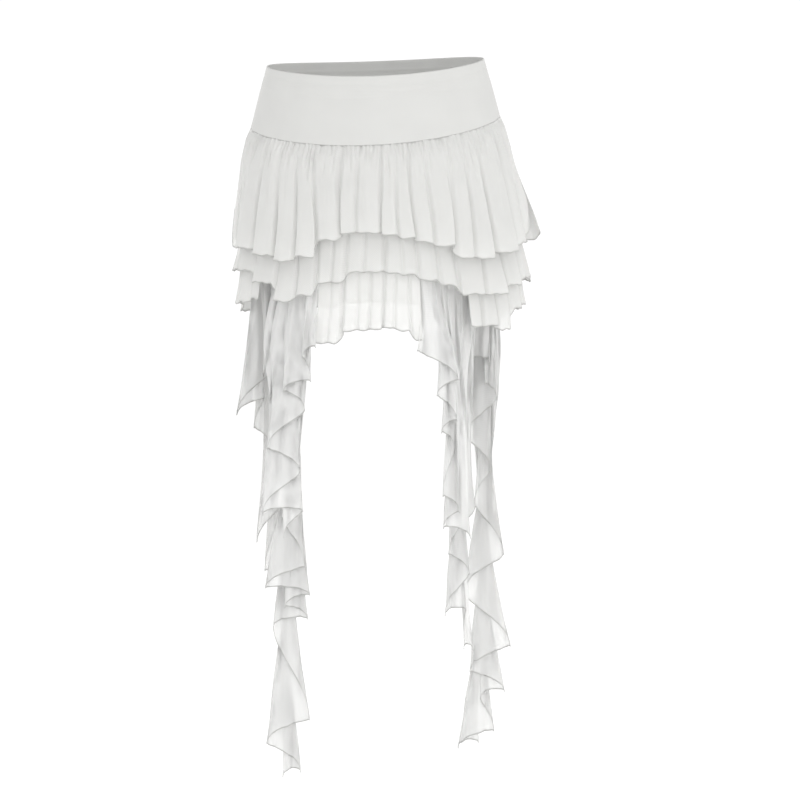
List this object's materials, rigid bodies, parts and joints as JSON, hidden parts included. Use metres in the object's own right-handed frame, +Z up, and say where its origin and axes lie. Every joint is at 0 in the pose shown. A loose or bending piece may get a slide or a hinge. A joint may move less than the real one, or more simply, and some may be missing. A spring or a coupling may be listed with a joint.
{
  "type": "ruffled mini skirt",
  "caption": "Ruffled mini skirt with a smooth hip yoke, gathered ruffle tiers with stepped hems and long zigzag waterfall cascades at both hips, in its hollow worn form.",
  "frame": {"origin": "centre of the waist opening, level with the middle height of the waist edge", "axes": "+Z up along the body, front of the skirt towards -Y, +X to the viewer's right (the wearer's left)"},
  "size_m": [0.3931, 0.2823, 0.9535],
  "materials": {
    "yoke": "matt doubled stretch mesh",
    "tier": "matt fine mesh",
    "cascade": "matt sheer fine mesh"
  },
  "bodies": {
    "root": {"yoke_front": "yoke", "yoke_back": "yoke", "tier1_front": "tier", "tier1_back": "tier", "tier2_front": "tier", "tier2_back": "tier", "tier3_front": "tier", "tier3_back": "tier", "left_cascade_front": "cascade", "left_cascade_long": "cascade", "left_cascade_side": "cascade", "right_cascade_front": "cascade", "right_cascade_inner": "cascade", "right_cascade_side": "cascade"}
  },
  "joints": []
}
